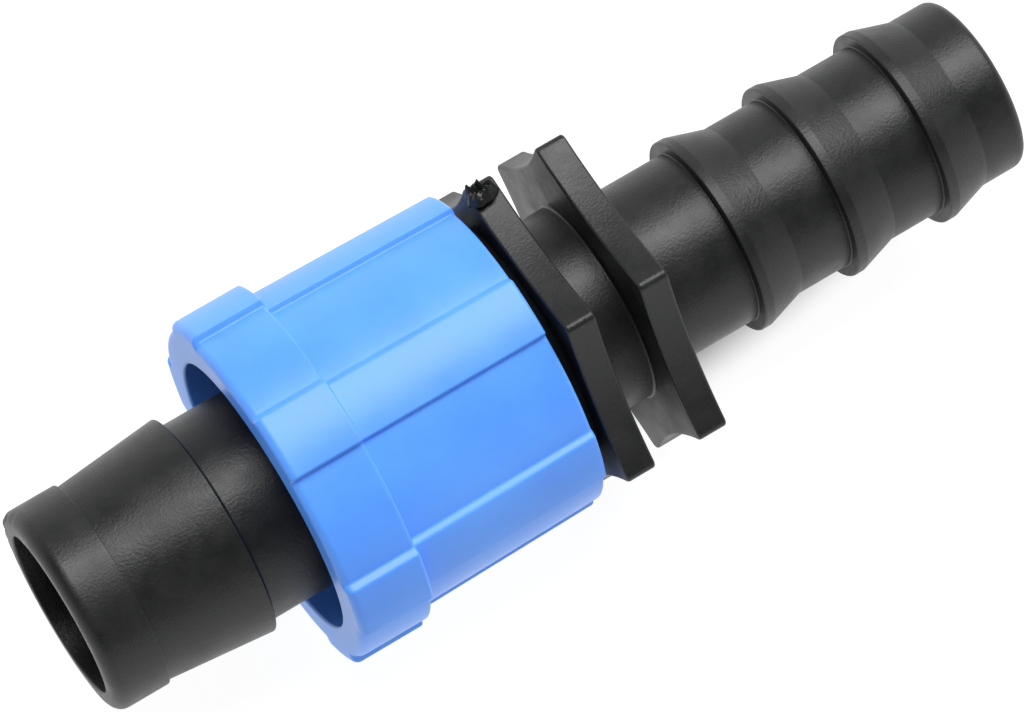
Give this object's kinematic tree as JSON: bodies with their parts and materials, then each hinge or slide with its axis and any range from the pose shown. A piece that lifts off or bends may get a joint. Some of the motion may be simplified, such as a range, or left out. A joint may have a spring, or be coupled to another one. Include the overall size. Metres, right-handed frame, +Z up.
{
  "type": "drip tape to pipe connector",
  "caption": "Black plastic connector with a plain spigot for drip tape, a blue ribbed lock nut, hexagonal grip flanges and a barbed pipe spigot.",
  "frame": {"origin": "on the axis of the water way, halfway between the tape end and the pipe end", "axes": "+X along the water way from the tape end to the pipe end, +Z up with the fitting lying on its side, two corners of each hexagonal flange pointing along +Y and -Y"},
  "size_m": [0.0758, 0.0272, 0.0272],
  "materials": {
    "body_black": "black polypropylene, finely mottled satin",
    "nut_blue": "blue polypropylene, soft gloss, slightly translucent"
  },
  "bodies": {
    "body": {"connector_body": "body_black"},
    "nut": {"lock_nut": "nut_blue"}
  },
  "joints": [
    {"name": "nut_travel", "type": "slide", "parent": "body", "child": "nut", "axis": [-1, 0, 0], "range_m": [-0.001, 0.0077]}
  ]
}
